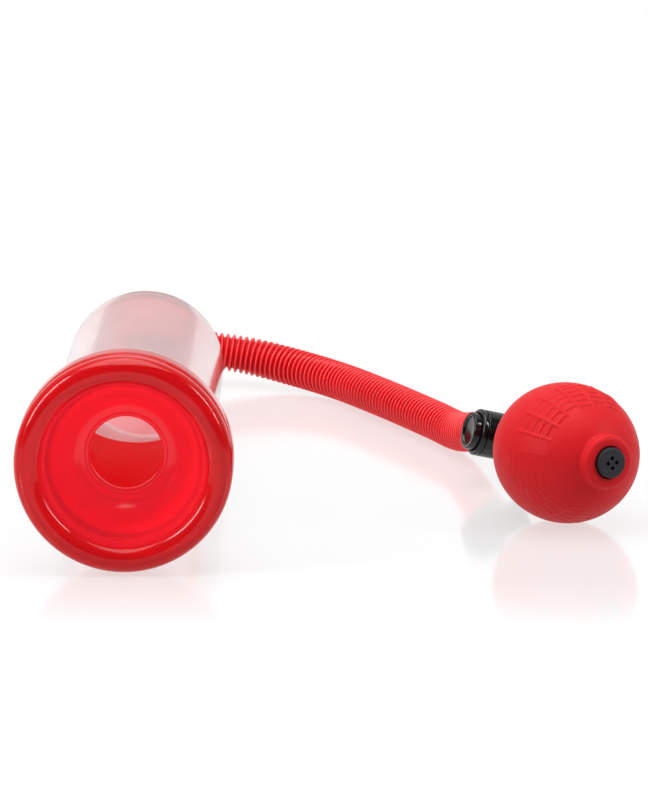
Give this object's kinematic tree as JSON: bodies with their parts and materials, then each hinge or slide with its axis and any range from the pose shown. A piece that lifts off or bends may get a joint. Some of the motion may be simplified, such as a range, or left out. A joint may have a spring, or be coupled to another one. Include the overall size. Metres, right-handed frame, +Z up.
{
  "type": "squeeze-bulb vacuum pump",
  "caption": "Hand vacuum pump: clear cylinder with a soft red sealing sleeve, ribbed hose, black press valve and red squeeze bulb.",
  "frame": {"origin": "on the floor, under the middle of the bounding box of everything but the hose", "axes": "+Z up; +Y from the sleeve's mouth towards the cylinder's closed end; +X towards the bulb"},
  "size_m": [0.2366, 0.3238, 0.0827],
  "materials": {
    "clear_acrylic": "clear, polished",
    "red_sleeve": "glossy translucent elastomer",
    "red_hose": "satin",
    "red_rubber": "matt, soft touch",
    "black_gloss": "glossy",
    "black_matte": "matt",
    "black_rubber": "matt",
    "pale_plastic": "natural",
    "steel": "bright"
  },
  "bodies": {
    "pump": {"vacuum_cylinder": "clear_acrylic", "cylinder_end_cap": "clear_acrylic", "cylinder_spigot": "black_gloss", "spigot_gasket": "black_rubber", "spigot_washer": "steel", "spigot_nut": "black_gloss", "hose_rear_cuff": "red_hose", "corrugated_hose": "red_hose", "hose_front_cuff": "red_hose", "valve_body": "black_gloss", "button_bezel": "black_gloss", "release_spring": "steel", "inlet_retainer": "pale_plastic", "neck_clamp_ring": "steel", "squeeze_bulb": "red_rubber"},
    "sleeve": {"sealing_sleeve": "red_sleeve", "sleeve_tunnel": "red_sleeve"},
    "release": {"release_button": "black_gloss", "release_stem": "pale_plastic", "release_seal": "black_rubber"},
    "inlet_valve": {"inlet_flap": "black_rubber"},
    "exhaust_unit": {"exhaust_housing": "black_matte", "exhaust_seat": "pale_plastic"},
    "exhaust_valve": {"exhaust_flap": "black_rubber"}
  },
  "joints": [
    {"name": "sleeve_pull", "type": "slide", "parent": "pump", "child": "sleeve", "axis": [0, -0.9987, 0.0501], "range_m": [0, 0.024]},
    {"name": "release_press", "type": "slide", "parent": "pump", "child": "release", "axis": [0.9192, 0.2989, -0.2564], "range_m": [0, 0.0028], "stiffness_N_per_m": 800, "springref_m": -0.002, "deforming": ["release_spring"]},
    {"name": "inlet_lift", "type": "slide", "parent": "pump", "child": "inlet_valve", "axis": [0.3405, -0.9304, 0.1357], "range_m": [0, 0.0012]},
    {"name": "bulb_squeeze", "type": "slide", "parent": "pump", "child": "exhaust_unit", "axis": [-0.4856, 0.8689, -0.0959], "range_m": [0, 0.016], "stiffness_N_per_m": 600, "springref_m": -0.002, "deforming": ["squeeze_bulb"]},
    {"name": "exhaust_lift", "type": "slide", "parent": "exhaust_unit", "child": "exhaust_valve", "axis": [0.4856, -0.8689, 0.0959], "range_m": [0, 0.0012]}
  ]
}
